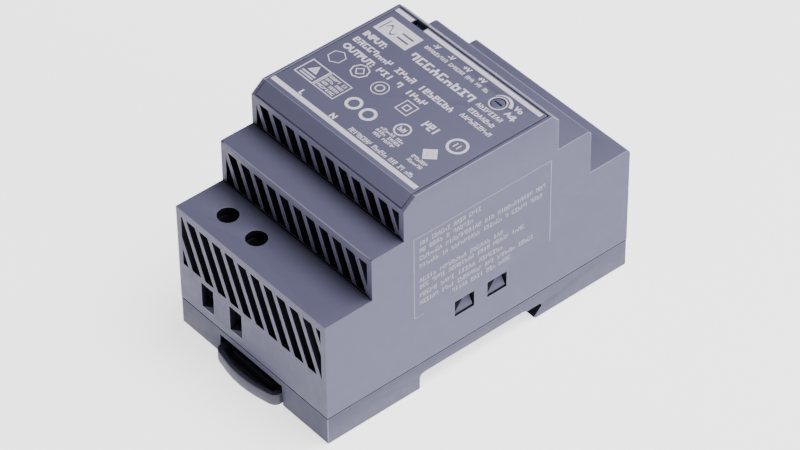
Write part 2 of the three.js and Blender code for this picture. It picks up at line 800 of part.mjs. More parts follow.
// Disc part standing on edge, its face across x.
function makeDisc(x, y, radius, thickness) {
  const geometry = new THREE.CylinderGeometry(radius, radius, thickness, 24);
  return solid(geometry.translate(x, y, seatZ + 1.5 + radius)).add(
    block(x - 2.8, x + 2.8, y - 0.4, y + 0.4, seatZ, seatZ + 3),
  );
}

// A lying ring, or part of one, of square section.
function makeRing(x, y, z0, z1, inner, outer, from = 0, sweep = 2 * Math.PI) {
  const shape = new THREE.Shape();
  shape.absarc(0, 0, outer, from, from + sweep, false);
  if (sweep < 6) {
    shape.absarc(0, 0, inner, from + sweep, from, true);
    shape.closePath();
  } else {
    const hole = new THREE.Path();
    hole.absarc(0, 0, inner, 0, 2 * Math.PI, true);
    shape.holes.push(hole);
  }
  const options = { depth: z1 - z0, bevelEnabled: false, curveSegments: 16 };
  return solid(new THREE.ExtrudeGeometry(shape, options).translate(x, y, z0));
}

// Power package: a tab with its hole, and the moulded body, standing against a heat sink.
function makePackage(x, y) {
  const face = y + fitGap;
  const low = seatZ + 4;
  const tab = cut(
    block(x - 5, x + 5, face, face + 1.3, low, low + 15.5),
    solid(new THREE.CylinderGeometry(1.8, 1.8, 6, 16).translate(x, face, low + 13)),
  );
  const body = block(x - 5, x + 5, face + 0.5, face + 4.4, low, low + 9);
  const legs = [-2.54, 0, 2.54].map((dx) =>
    block(x + dx - 0.4, x + dx + 0.4, face + 2, face + 2.6, seatZ, low + 1),
  );
  return join(tab, body, legs);
}

// Angle plate that a power package is clamped to; its flange hangs over the package.
function makeHeatSink(x, y, width, height) {
  const thickness = 1.5;
  const top = seatZ + height;
  const plate = block(x - width / 2, x + width / 2, y - thickness, y, seatZ, top);
  return plate.add(block(x - width / 2, x + width / 2, y - thickness, y + 6, top - thickness, top));
}

function addTransformer(x, y) {
  const coreWidth = 25;
  const coreDepth = 9;
  const coreHeight = 26;
  const legWidth = 3.5;
  const centreLeg = 7;
  const z0 = seatZ + 2;
  const z1 = z0 + coreHeight;
  const middle = (z0 + z1) / 2;
  const yoke = 3.5;
  const coreSide = x + coreWidth / 2;
  const outerLeg = coreSide - legWidth;
  const depth = [y - coreDepth / 2, y + coreDepth / 2];
  const halfCore = (low, high, back) =>
    join(
      block(2 * x - coreSide, 2 * x - outerLeg, ...depth, low, high),
      block(outerLeg, coreSide, ...depth, low, high),
      block(x - centreLeg / 2, x + centreLeg / 2, ...depth, low, high),
      block(2 * x - coreSide, coreSide, ...depth, ...back),
    );
  addMesh("transformer_core_lower", halfCore(z0, middle - fitGap / 2, [z0, z0 + yoke]), ferrite);
  addMesh("transformer_core_upper", halfCore(middle + fitGap / 2, z1, [z1 - yoke, z1]), ferrite);

  // Bobbin: a tube round the centre leg with a flange at each end, and pin rails below.
  const tubeIn = centreLeg / 2 + fitGap;
  const tubeInY = coreDepth / 2 + fitGap;
  const tubeWall = 1;
  const flangeX = coreWidth / 2 - legWidth - fitGap;
  const flangeY = coreDepth / 2 + 5.2;
  const low = z0 + yoke + fitGap;
  const high = z1 - yoke - fitGap;
  const around = (halfX, halfY, z0, z1) => block(x - halfX, x + halfX, y - halfY, y + halfY, z0, z1);
  const bobbin = cut(
    join(
      around(tubeIn + tubeWall, tubeInY + tubeWall, low, high),
      around(flangeX, flangeY, low, low + tubeWall),
      around(flangeX, flangeY, high - tubeWall, high),
      block(x - flangeX, x + flangeX, y - flangeY, y - tubeInY, seatZ, low + tubeWall / 2),
      block(x - flangeX, x + flangeX, y + tubeInY, y + flangeY, seatZ, low + tubeWall / 2),
    ),
    around(tubeIn, tubeInY, low - 1, high + 1),
  );
  addMesh("transformer_bobbin", bobbin, blackPlastic);

  const windOuterX = flangeX - 0.2;
  const windOuterY = flangeY - 0.6;
  const rounded = (hx, hy, r) => {
    const shape = new THREE.Shape();
    shape.moveTo(x + hx - r, y - hy);
    shape.absarc(x + hx - r, y - hy + r, r, -Math.PI / 2, 0, false);
    shape.absarc(x + hx - r, y + hy - r, r, 0, Math.PI / 2, false);
    shape.absarc(x - hx + r, y + hy - r, r, Math.PI / 2, Math.PI, false);
    shape.absarc(x - hx + r, y - hy + r, r, Math.PI, 1.5 * Math.PI, false);
    return shape;
  };
  const windLow = low + tubeWall + fitGap;
  const windHigh = high - tubeWall - fitGap;
  const winding = cut(
    prismAlongZ(rounded(windOuterX, windOuterY, 2), windLow, windHigh),
    around(tubeIn + tubeWall + fitGap, tubeInY + tubeWall + fitGap, low, high),
  );
  addMesh("transformer_winding", winding, tape);
}

function addBoardParts() {
  const inputZone = inputEnd + 17.2; // first row of parts behind the input terminals
  const outputZone = outputEnd - 17.2;

  addMesh("fuse", turned(-15, inputZone + 5.5, [
    [0, seatZ],
    [4.2, seatZ],
    [4.2, seatZ + 7.4],
    [3.6, seatZ + 8],
    [0, seatZ + 8],
  ]), blackPlastic);
  addMesh("inrush_thermistor", makeDisc(-3.6, inputZone + 2, 5.2, 3.4), greySleeve);
  addMesh("surge_varistor", makeDisc(-3.6, inputZone + 7.4, 4.8, 3.4), blueEpoxy);
  addMesh("line_capacitor", block(4.2, 17.2, inputZone + 3.4, inputZone + 9.4, seatZ, seatZ + 12), film);

  // Common-mode choke: a lying ring core with a coil on each half.
  const chokeY = inputZone + 17;
  const chokeX = -12;
  const coreLow = seatZ + 3;
  const coreHigh = coreLow + 6;
  const coreInner = 4.2;
  const coreOuter = 6.6;
  const coilThickness = 1.3;
  const coilSweep = 2.2;
  addMesh("choke_core", makeRing(chokeX, chokeY, coreLow, coreHigh, coreInner, coreOuter), ferrite);
  const coil = (middle) => {
    const heights = [coreLow - coilThickness, coreHigh + coilThickness];
    const radii = [coreInner - coilThickness, coreOuter + coilThickness];
    const clearHeights = [coreLow - fitGap, coreHigh + fitGap];
    const clearRadii = [coreInner - fitGap, coreOuter + fitGap];
    return cut(
      makeRing(chokeX, chokeY, ...heights, ...radii, middle - coilSweep / 2, coilSweep),
      makeRing(chokeX, chokeY, ...clearHeights, ...clearRadii),
    );
  };
  addMesh("choke_coil_line", coil(0), copper);
  addMesh("choke_coil_neutral", coil(Math.PI), copper);

  const bridge = block(4.4, 19, inputZone + 11.4, inputZone + 14.6, seatZ + 3, seatZ + 15);
  const bridgeLeads = block(6, 17.4, inputZone + 12.6, inputZone + 13.4, seatZ, seatZ + 4);
  addMesh("bridge_rectifier", bridge.add(bridgeLeads), blackPlastic);

  addMesh("bulk_capacitor", makeCan(10.6, inputZone + 24, 8, 31), greySleeve);

  addTransformer(-7, outputZone - 20.4);

  const primarySink = inputZone + 33.6;
  addMesh("primary_heat_sink", makeHeatSink(13, primarySink, 14, 24), aluminium);
  addMesh("power_transistor", makePackage(13, primarySink), blackPlastic);

  const secondarySink = outputZone - 8.3;
  addMesh("secondary_heat_sink", makeHeatSink(14.4, secondarySink, 11, 24), aluminium);
  addMesh("output_rectifier", makePackage(14.4, secondarySink), blackPlastic);

  const filterRow = outputZone - 5.4;
  [-14.9, -4.3].forEach((x, i) => {
    addMesh(`output_capacitor_${i + 1}`, makeCan(x, filterRow, 5, 20), greySleeve);
  });
  addMesh("output_choke", turned(5, filterRow, [
    [0, seatZ],
    [3.9, seatZ],
    [3.9, seatZ + 1.5],
    [3.1, seatZ + 1.5],
    [3.1, seatZ + 9.5],
    [3.9, seatZ + 9.5],
    [3.9, seatZ + 11],
    [0, seatZ + 11],
  ]), ferrite);
  const feedbackRow = outputZone - 13.2;
  addMesh("safety_capacitor", makeDisc(10.2, feedbackRow, 3.6, 2.6), blueEpoxy);
  const optocoupler = block(15, 19.6, feedbackRow - 1.2, feedbackRow + 1.2, seatZ, seatZ + 3.4);
  addMesh("optocoupler", optocoupler, blackPlastic);
}

// ---- Upper board, light and adjuster -----------------------------------------------------

function addUpperBoard() {
  const boardStart = coverEnd - 14;
  const boardEnd = coverEnd - 0.2;
  const half = boardHalfWidth - 0.6;
  const board = block(-half, half, boardStart, boardEnd, upperBoardBottom, upperBoardTop);
  addMesh("upper_board", board, boardLaminate);

  // Upright strips that join the two boards, with a wider head under the upper one.
  const linkTop = upperBoardBottom - fitGap;
  for (const [name, side] of [["left", -1], ["right", 1]]) {
    const x = side * (half - 1.3);
    const head = block(x - 1.2, x + 1.2, boardStart + 2, boardStart + 12, linkTop - 2.4, linkTop);
    const pins = block(x - 0.4, x + 0.4, boardStart + 2.6, boardStart + 11.4, seatZ, linkTop - 1);
    addMesh(`board_link_${name}`, head.add(pins), blackPlastic);
  }

  // Light, and the pipe that carries it to the notch in the cover's edge.
  const ledX = left + ledFromSide;
  const ledY = coverEnd - ledNotchDepth / 2 - 0.1;
  const partFloor = upperBoardTop + fitGap;
  const ledTop = partFloor + 1.2;
  const led = block(ledX - 1.5, ledX + 1.5, ledY - 0.7, ledY + 0.7, partFloor, ledTop);
  const pipe = block(ledX - 1.6, ledX + 1.6, ledY - 0.6, ledY + 0.6, ledTop + fitGap, frontHeight - 1.3);
  addMesh("status_led", led, fibre);
  addMesh("light_pipe", pipe, smokedClear);

  // Trimmer: its housing on the upper board, and the spindle that turns in it.
  const bodyTop = partFloor + 3.6;
  const socket = 1.4;
  const socketRadius = 2;
  const bodyHalf = 3.2;
  const bodyX = [adjusterX - bodyHalf, adjusterX + bodyHalf];
  const bodyY = [adjusterY - bodyHalf, adjusterY + bodyHalf];
  const body = cut(
    block(...bodyX, ...bodyY, partFloor, bodyTop),
    rod(adjusterX, adjusterY, socketRadius + fitGap, bodyTop - socket, bodyTop + 1, 24),
  );
  addMesh("trimmer_body", body, blueEpoxy);
  const spindleTop = frontHeight - 0.05;
  const spindle = turned(adjusterX, adjusterY, [
    [0, bodyTop - socket + fitGap],
    [socketRadius, bodyTop - socket + fitGap],
    [socketRadius, bodyTop + 0.2],
    [adjusterRadius, bodyTop + 0.6],
    [adjusterRadius, spindleTop - 0.1],
    [adjusterRadius - 0.1, spindleTop],
    [0, spindleTop],
  ], 28);
  const slotX = [adjusterX - 1.15, adjusterX + 1.15];
  const slotY = [adjusterY - 0.25, adjusterY + 0.25];
  const driverSlot = block(...slotX, ...slotY, spindleTop - adjusterSlotDepth, spindleTop + 1);
  addMesh("adjuster_spindle", cut(spindle, driverSlot), casePlastic);
}

// ---- Assembly ----------------------------------------------------------------------------

addMesh("upper_housing", makeHousing(), casePlastic);
addMesh("front_cover", makeCover(), casePlastic);
addMesh("base", makeBase(), casePlastic);
addMesh("rail_latch", makeLatch(), latchPlastic);
addMesh("latch_spring", makeSpring(), springSteel);

const inputGroup = new THREE.Group();
inputGroup.position.y = inputEnd;
part.add(inputGroup);
const legs = addTerminals("input", inputPoles, inputPitch, {
  cageWidth: 6.4,
  entryWidth: inputEntryWidth,
  threadRadius: 1.5,
  headRadius: 2.3,
  names: ["L", "N"],
}, inputGroup);

const outputGroup = new THREE.Group();
outputGroup.position.y = outputEnd;
outputGroup.rotation.z = Math.PI;
part.add(outputGroup);
addTerminals("output", outputPoles.map((x) => -x), outputPitch, {
  cageWidth: 4.2,
  entryWidth: 3.4,
  threadRadius: 1.25,
  headRadius: 1.8,
  names: ["V1", "V2", "V3", "V4"],
}, outputGroup);

addMesh("main_board", makeMainBoard(legs), boardLaminate);
const sheetHalfWidth = caseWidth / 2 - wall - armThickness - 1;
const sheetHalfLength = caseLength / 2 - pegFromEnd - 3;
const sheetFloor = floorTop + fitGap;
addMesh(
  "insulating_sheet",
  block(-sheetHalfWidth, sheetHalfWidth, -sheetHalfLength, sheetHalfLength, sheetFloor, sheetFloor + 0.3),
  fibre,
);
addBoardParts();
addUpperBoard();

export default part;
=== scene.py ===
# %% [markdown]
# # A power supply that snaps onto a rail
# The solids of this power supply, with their sizes, places and joints, come from its CAD model.
# Here each visible surface gets its finish: moulded plastic with softened edges, printed marks,
# plated screws, wound coils and boards with their small parts. One Blender unit is one metre.

# %% Load the frame
import json
import math

import bmesh
import bpy
from mathutils import Matrix, Vector
from mathutils.bvhtree import BVHTree
from mathutils.kdtree import KDTree


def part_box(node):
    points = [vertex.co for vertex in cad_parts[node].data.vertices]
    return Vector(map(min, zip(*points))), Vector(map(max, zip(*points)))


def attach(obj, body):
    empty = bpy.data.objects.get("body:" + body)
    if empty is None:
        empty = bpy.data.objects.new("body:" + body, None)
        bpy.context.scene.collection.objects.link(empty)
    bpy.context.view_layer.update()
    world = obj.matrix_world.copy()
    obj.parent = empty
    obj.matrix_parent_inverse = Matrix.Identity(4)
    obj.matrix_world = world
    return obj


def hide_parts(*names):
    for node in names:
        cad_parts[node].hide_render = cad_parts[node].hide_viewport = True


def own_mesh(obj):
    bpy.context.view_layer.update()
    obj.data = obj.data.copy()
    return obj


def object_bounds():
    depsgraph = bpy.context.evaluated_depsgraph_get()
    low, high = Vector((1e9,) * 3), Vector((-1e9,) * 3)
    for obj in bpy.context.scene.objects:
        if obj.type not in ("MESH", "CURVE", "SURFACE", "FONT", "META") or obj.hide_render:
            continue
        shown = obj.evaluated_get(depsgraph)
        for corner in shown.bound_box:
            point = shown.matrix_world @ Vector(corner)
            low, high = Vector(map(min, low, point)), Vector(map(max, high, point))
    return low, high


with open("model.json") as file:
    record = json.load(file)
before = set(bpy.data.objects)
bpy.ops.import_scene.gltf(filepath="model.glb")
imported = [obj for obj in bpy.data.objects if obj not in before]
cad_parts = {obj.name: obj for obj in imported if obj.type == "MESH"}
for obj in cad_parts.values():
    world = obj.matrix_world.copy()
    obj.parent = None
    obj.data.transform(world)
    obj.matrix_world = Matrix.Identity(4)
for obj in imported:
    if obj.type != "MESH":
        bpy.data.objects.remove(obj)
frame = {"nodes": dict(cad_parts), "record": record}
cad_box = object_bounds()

MM = 0.001
nodes = frame["nodes"]
bodies = frame["record"]["behaviour"]["bodies"]
body_of = {node: body for body, members in bodies.items() for node in members}
slot_of = {entry["node"]: entry["material_slot"] for entry in frame["record"]["subparts"]}

# %% [markdown]
# ## The camera
# The camera has a long lens and stands nine tenths of a metre away, so that parallel edges stay
# almost parallel. It looks down at the input end and the right side of the case.

# %% Camera
camera_data = bpy.data.cameras.new("product_camera")
camera_data.lens = 175.08
camera_data.sensor_width = 36
camera_data.clip_start = 0.05
camera_data.clip_end = 20
camera = bpy.data.objects.new("product_camera", camera_data)
camera.location = (0.50316, -0.42163, 0.61435)
camera.rotation_euler = [math.radians(angle) for angle in (47.684, 0.524, 49.664)]
bpy.context.scene.collection.objects.link(camera)
bpy.context.scene.camera = camera
print("camera is", round(camera.location.length, 3), "m from the rail seat")

# %% [markdown]
# ## Finishes
# Every finish is a small set of nodes on one Principled shader. Noise on Object coordinates gives
# a slow drift of tone, a change of gloss from place to place, and a fine grain in the normal.
# Object coordinates are metres here, so a grain scale of 3000 is a grain a third of a millimetre
# across. One recipe serves all the finishes of the object.

# %% The recipe for a plain finish
def shader_nodes(name):
    material = bpy.data.materials.new(name)
    material.use_nodes = True
    tree = material.node_tree
    return material, tree, tree.nodes["Principled BSDF"]


def noise(tree, place, scale, detail=3.0):
    texture = tree.nodes.new("ShaderNodeTexNoise")
    texture.inputs["Scale"].default_value = scale
    texture.inputs["Detail"].default_value = detail
    tree.links.new(place, texture.inputs["Vector"])
    return texture.outputs["Fac"]


def spread(tree, value, low, high):
    remap = tree.nodes.new("ShaderNodeMapRange")
    remap.inputs["From Min"].default_value = 0.3
    remap.inputs["From Max"].default_value = 0.7
    remap.inputs["To Min"].default_value = low
    remap.inputs["To Max"].default_value = high
    tree.links.new(value, remap.inputs["Value"])
    return remap.outputs["Result"]


def blend_tones(tree, factor, dark, light):
    mix = tree.nodes.new("ShaderNodeMix")
    mix.data_type = "RGBA"
    mix.inputs[6].default_value = (*dark, 1)
    mix.inputs[7].default_value = (*light, 1)
    tree.links.new(factor, mix.inputs[0])
    return mix.outputs[2]


def bump(tree, shader, height, depth):
    node = tree.nodes.new("ShaderNodeBump")
    node.inputs["Distance"].default_value = depth
    tree.links.new(height, node.inputs["Height"])
    tree.links.new(node.outputs["Normal"], shader.inputs["Normal"])


def object_place(tree):
    return tree.nodes.new("ShaderNodeTexCoord").outputs["Object"]


def plain_finish(
    name, tone, rough, metal=0.0, drift=0.05, drift_scale=45, grain=3000, depth=4e-6, coat=0.0, shine=0.5
):
    material, tree, shader = shader_nodes(name)
    place = object_place(tree)
    dark = [channel * (1 - drift) for channel in tone]
    light = [min(1.0, channel * (1 + drift)) for channel in tone]
    slow = noise(tree, place, drift_scale)
    tree.links.new(blend_tones(tree, slow, dark, light), shader.inputs["Base Color"])
    patches = noise(tree, place, drift_scale * 9, 4.0)
    tree.links.new(spread(tree, patches, rough - 0.06, rough + 0.06), shader.inputs["Roughness"])
    bump(tree, shader, noise(tree, place, grain, 2.0), depth)
    shader.inputs["Metallic"].default_value = metal
    shader.inputs["Coat Weight"].default_value = coat
    shader.inputs["Specular IOR Level"].default_value = shine
    return material


def moulded(name, tone, rough, shine=0.25):
    return plain_finish(name, tone, rough, depth=6e-6, grain=2600, shine=shine)


finishes = {
    "case_plastic": moulded("case_plastic", (0.096, 0.093, 0.155), 0.50),
    "latch_plastic": moulded("latch_plastic", (0.088, 0.087, 0.125), 0.48),
    "terminal_plastic": plain_finish("terminal_plastic", (0.010, 0.010, 0.013), 0.60, shine=0.2),
    "black_plastic": plain_finish("black_plastic", (0.016, 0.016, 0.018), 0.45),
    "board_laminate": plain_finish("board_laminate", (0.012, 0.050, 0.022), 0.35, coat=0.4),
    "plated_steel": plain_finish("plated_steel", (0.55, 0.56, 0.58), 0.32, metal=1.0, grain=5000),
    "spring_steel": plain_finish("spring_steel", (0.35, 0.36, 0.38), 0.34, metal=1.0),
    "aluminium": plain_finish("aluminium", (0.52, 0.53, 0.55), 0.42, metal=1.0, grain=4000),
    "copper_wire": plain_finish("copper_wire", (0.45, 0.16, 0.06), 0.30, metal=1.0, coat=0.6),
    "ferrite": plain_finish("ferrite", (0.030, 0.030, 0.032), 0.70, depth=1.2e-5),
    "winding_tape": plain_finish("winding_tape", (0.62, 0.40, 0.05), 0.30, coat=0.5),
    "capacitor_film": plain_finish("capacitor_film", (0.50, 0.33, 0.08), 0.42),
    "dark_sleeve": plain_finish("dark_sleeve", (0.014, 0.015, 0.022), 0.28, coat=0.3),
    "blue_epoxy": plain_finish("blue_epoxy", (0.020, 0.060, 0.24), 0.30, coat=0.4, depth=1.5e-5, grain=900),
    "fibre": plain_finish("fibre", (0.58, 0.58, 0.52), 0.75, grain=1800, depth=1.2e-5),
    "led_resin": plain_finish("led_resin", (0.70, 0.72, 0.60), 0.20, coat=0.5),
    "light_pipe_resin": plain_finish("light_pipe_resin", (0.014, 0.016, 0.022), 0.12, coat=0.8),
}
# The edge finishes are paler than the plastic: a painted highlight on the bevelled strips. Their lower
# roughness is polish from handling.
edge_highlight_finishes = {
    "case_plastic": plain_finish("case_plastic_edge", (0.190, 0.185, 0.270), 0.40, depth=3e-6, shine=0.4),
    "latch_plastic": plain_finish("latch_plastic_edge", (0.110, 0.109, 0.155), 0.42, depth=3e-6, shine=0.4),
}
own_finishes = {"base": moulded("base_plastic", (0.074, 0.072, 0.120), 0.52, shine=0.22)}
# Painted shade: these dark finishes go on the faces that the openness rays find closed in.
painted_shade_finishes = {
    "case_plastic": plain_finish("case_plastic_recess", (0.007, 0.007, 0.012), 0.75, depth=1e-5, shine=0.1),
    "latch_plastic": plain_finish("latch_plastic_recess", (0.060, 0.060, 0.088), 0.60, depth=1e-5, shine=0.3),
}
print(len(finishes) + len(edge_highlight_finishes) + len(painted_shade_finishes) + len(own_finishes), "finishes")

# %% [markdown]
# ## Softened edges
# A CAD solid is made of loose flat triangles that meet at knife edges. No real edge is that
# sharp: a moulded one has a radius of a tenth or two of a millimetre, and it is what catches the
# light. A copy of each node is merged and a bevel goes on its sharp edges. The bevelled strips
# take a second finish: glossier, as handling polishes them, and paler, which is a painted
# highlight along each edge.
#
# A bevel that is wider than the face beside it folds that face over. The width is therefore held
# to a share of the shortest sharp edge at each corner, and every result is tested: a triangle
# that faces against the CAD surface under it marks its corners, those edges are left sharp, and
# the bevel is made again until nothing folds.

# %% Small helpers for pieces
def piece_object(name, mesh, body, stands_for=()):
    made = bpy.data.objects.new(name, mesh)
    bpy.context.scene.collection.objects.link(made)
    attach(made, body)
    if stands_for:
        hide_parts(*stands_for)
    return made


def scratch_object(mesh):
    scratch = bpy.data.objects.new("scratch", mesh)
    bpy.context.scene.collection.objects.link(scratch)
    return scratch


def applied(scratch):
    """The scratch object's mesh with its modifiers applied; the scratch object is removed."""
    bpy.context.view_layer.update()
    graph = bpy.context.evaluated_depsgraph_get()
    mesh = bpy.data.meshes.new_from_object(scratch.evaluated_get(graph))
    bpy.data.objects.remove(scratch)
    return mesh


def merged(node):
    shape = bmesh.new()
    shape.from_mesh(nodes[node].data)
    bmesh.ops.remove_doubles(shape, verts=shape.verts, dist=0.002 * MM)
    return shape


# %% [markdown]
# ## Shade in the recesses
# The vents, the wire entries and the pocket of the latch are deep and narrow, and little light
# gets into them. How open a face is can be measured: rays go out over the half sphere in front
# of it, and those that leave the object are counted. Faces that are mostly closed in take the
# recess finish: the same plastic with painted shade in its colour, dark and dull.

# %% Rays that measure openness
whole = bmesh.new()
for cad in nodes.values():
    whole.from_mesh(cad.data)
whole_surface = BVHTree.FromBMesh(whole)
whole.free()
RAYS = 28
RAY_START = 0.05 * MM
RAY_REACH = 60 * MM
golden = math.pi * (3 - math.sqrt(5))
half_sphere = []
for i in range(RAYS):
    lift = math.sqrt((i + 0.5) / RAYS)
    flat = math.sqrt(1 - lift * lift)
    half_sphere.append(Vector((flat * math.cos(golden * i), flat * math.sin(golden * i), lift)))


def openness(place, normal):
    turn = normal.to_track_quat("Z", "Y")
    start = place + normal * RAY_START
    clear = sum(whole_surface.ray_cast(start, turn @ ray, RAY_REACH)[0] is None for ray in half_sphere)
    return clear / RAYS


CLOSED_IN = {"case_plastic": 0.40, "latch_plastic": 0.42}
NARROW = 16 * MM * MM
NARROW_CLOSED_IN = {"case_plastic": 0.58, "latch_plastic": 0.42}  # a slot's walls are half closed in


def is_recess(place, normal, area, slot):
    limit = NARROW_CLOSED_IN if area < NARROW else CLOSED_IN
    return openness(place, normal) < limit[slot]


pipe_low, pipe_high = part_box("light_pipe")
GROOVE_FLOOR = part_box("front_cover")[1].z - 3.7 * MM


def in_cover_groove(place):
    """The groove round the cover is shallow and catches light; the notch over the light pipe does not."""
    by_the_notch = pipe_low.x - 3 * MM < place.x < pipe_high.x + 3 * MM and place.y > pipe_low.y - 3 * MM
    return place.z > GROOVE_FLOOR and not by_the_notch


def shade_recesses(mesh, slot):
    for face in mesh.polygons:
        if not in_cover_groove(face.center) and is_recess(face.center, face.normal, face.area, slot):
            # painted shade on a closed-in face
            face.material_index = 2


# %% The bevel that tests itself
SHARP = math.radians(30)
ROOM_SHARE = 0.3  # the part of the shortest sharp edge at a corner that a bevel may take
RIM_SHARE = 0.3  # a rim of a vent is sharper than an outer edge
SLIVER = 2e-9  # square metres; a smaller triangle is too thin to face anywhere
AGAINST = -0.1  # the cosine below which a triangle faces against the CAD surface
TRIES = 8


def bevelled(node, width, left_sharp, segments, recessed):
    shape = merged(node)
    shape.verts.index_update()
    shape.faces.index_update()
    weight = shape.edges.layers.float.new("bevel_weight_edge")
    sharp = [edge for edge in shape.edges if len(edge.link_faces) == 2 and edge.calc_face_angle() > SHARP]
    room = {}
    for edge in sharp:
        for corner in edge.verts:
            room[corner.index] = min(room.get(corner.index, 1), edge.calc_length() * ROOM_SHARE)
    for edge in sharp:
        ends = [corner.index for corner in edge.verts]
        held = any(end in left_sharp for end in ends)
        edge[weight] = 0 if held else min(1, min(room[end] for end in ends) / width)
        if any(face.index in recessed for face in edge.link_faces):
            edge[weight] *= RIM_SHARE
    mesh = bpy.data.meshes.new("bevelled")
    shape.to_mesh(mesh)
    shape.free()
    for leftover in ("custom_normal", "sharp_edge", "sharp_face"):
        if leftover in mesh.attributes:
            mesh.attributes.remove(mesh.attributes[leftover])
    mesh.materials.clear()
    main = own_finishes.get(node, finishes[slot_of[node]])
    mesh.materials.append(main)
    # slot 1 is the edge finish with its painted highlight, slot 2 the painted shade for closed-in faces
    mesh.materials.append(edge_highlight_finishes.get(slot_of[node], main))
    mesh.materials.append(painted_shade_finishes.get(slot_of[node], main))
    scratch = scratch_object(mesh)
    bevel = scratch.modifiers.new("edge", "BEVEL")
    bevel.width = width
    bevel.segments = segments
    bevel.limit_method = "WEIGHT"
    bevel.use_clamp_overlap = False
    bevel.material = 1
    return applied(scratch)


def folded_corners(mesh, surface, width):
    mesh.calc_loop_triangles()
    found = []
    for triangle in mesh.loop_triangles:
        if triangle.area < SLIVER:
            continue
        a, b, c = [mesh.vertices[i].co for i in triangle.vertices]
        facing = (b - a).cross(c - a).normalized()
        _, normal, _, distance = surface.find_nearest((a + b + c) / 3)
        if distance > width or facing.dot(normal) < AGAINST:
            found += [a.copy(), b.copy(), c.copy()]
    return found


def soft_mesh(node, width, segments):
    shape = merged(node)
    shape.faces.index_update()
    surface = BVHTree.FromBMesh(shape)
    corners = KDTree(len(shape.verts))
    for i, corner in enumerate(shape.verts):
        corners.insert(corner.co, i)
    corners.balance()
    shape.normal_update()
    rounds = set()
    for edge in shape.edges:
        if len(edge.link_faces) == 2 and math.radians(1) < edge.calc_face_angle() < SHARP:
            rounds.update(face.index for face in edge.link_faces)
    slot = slot_of[node]
    recessed = set()
    if slot in CLOSED_IN:
        for i, face in enumerate(shape.faces):
            if is_recess(face.calc_center_median(), face.normal, face.calc_area(), slot):
                recessed.add(i)
    shape.free()
    left_sharp = set()
    for _ in range(TRIES):
        mesh = bevelled(node, width, left_sharp, segments, recessed)
        folded = folded_corners(mesh, surface, width)
        if not folded:
            return mesh, surface, rounds
        for place in folded:
            left_sharp.update(i for _, i, _ in corners.find_range(place, width * 2))
    raise ValueError(node + " still folds")


# %% [markdown]
# ## Flat stays flat
# Smooth shading is for round surfaces and for the softened strips. A flat face that shares its
# corners with a strip must keep its own normal, or a false gradient runs across it. So a face is
# smooth only if it is a strip, or if the CAD face under it is a facet of a round: one that meets
# a neighbour at a slight angle.

# %% Which faces are smooth
CREASE = math.radians(50)


def set_shading(mesh, surface, rounds):
    for face in mesh.polygons:
        _, _, under, _ = surface.find_nearest(face.center)
        face.use_smooth = face.material_index == 1 or under in rounds
    mesh.set_sharp_from_angle(angle=CREASE)


def softened(node, width, segments=2):
    slot = slot_of[node]
    mesh, surface, rounds = soft_mesh(node, width, segments)
    set_shading(mesh, surface, rounds)
    if slot in CLOSED_IN:
        shade_recesses(mesh, slot)
    mesh.name = node + "_soft"
    return piece_object(node + "_soft", mesh, body_of[node], [node])


# %% Every plain node softened
edge_widths = {
    "upper_housing": 0.20, "front_cover": 0.08, "base": 0.18, "rail_latch": 0.25, "adjuster_spindle": 0.06,
}
DEFAULT_EDGE = 0.12
wound = {"latch_spring", "choke_coil_line", "choke_coil_neutral"}
for node in nodes:
    if node not in wound:
        made = softened(node, edge_widths.get(node, DEFAULT_EDGE) * MM)
        if node in edge_widths:
            print(made.name, len(made.data.polygons), "faces")

# %% [markdown]
# ## Geometry Nodes in short
# What repeats is grown by Geometry Nodes. A tree is a list of nodes and links, so a small helper
# keeps each one readable: it adds a node, sets its options, and wires or fills its inputs by name.

# %% A helper for node trees
class Tree:
    def __init__(self, name):
        self.group = bpy.data.node_groups.new(name, "GeometryNodeTree")
        self.group.interface.new_socket("Geometry", in_out="OUTPUT", socket_type="NodeSocketGeometry")
        self.source = self.group.nodes.new("NodeGroupInput")
        self.result = self.group.nodes.new("NodeGroupOutput")

    def size(self, name, kind="Float"):
        self.group.interface.new_socket(name, in_out="INPUT", socket_type="NodeSocket" + kind)
        return self.source.outputs[name]

    def add(self, kind, options=None, **values):
        node = self.group.nodes.new(kind)
        for option, value in (options or {}).items():
            setattr(node, option, value)
        for name, value in values.items():
            socket = next(s for s in node.inputs if s.enabled and s.name.replace(" ", "_") == name)
            if isinstance(value, bpy.types.NodeSocket):
                self.group.links.new(value, socket)
            else:
                socket.default_value = value
        return next(s for s in node.outputs if s.enabled)

    def end(self, geometry, finish):
        real = self.add("GeometryNodeRealizeInstances", Geometry=geometry)
        named = self.add("GeometryNodeSetMaterial", Geometry=real, Material=finish)
        self.group.links.new(named, self.result.inputs["Geometry"])
        return self


def grown(tree, **values):
    """The plain mesh that a tree makes from these named sizes."""
    scratch = scratch_object(bpy.data.meshes.new("scratch"))
    modifier = scratch.modifiers.new("grow", "NODES")
    modifier.node_group = tree.group
    for item in tree.group.interface.items_tree:
        if item.in_out == "INPUT":
            modifier[item.identifier] = values[item.name.replace(" ", "_")]
    return applied(scratch)


# %% [markdown]
# ## Printed marks
# The real case is pad-printed in pale ink. The ink is a film a few hundredths of a millimetre
# thick, so each mark is a thin closed plate that stands just proud of the plastic. Lines of small
# print are not real words: a kit of stroke shapes is scattered along each line, with gaps, by a
# node tree, which reads as print from any distance and says nothing.

# %% Ink, and plates cut from outlines
INK = 0.03 * MM
ink_white = plain_finish("ink_white", (0.64, 0.60, 0.70), 0.55, drift=0.10, drift_scale=700, grain=5000)
ink_thin = plain_finish("ink_thin", (0.245, 0.235, 0.300), 0.55, drift=0.30, drift_scale=500, grain=5000)


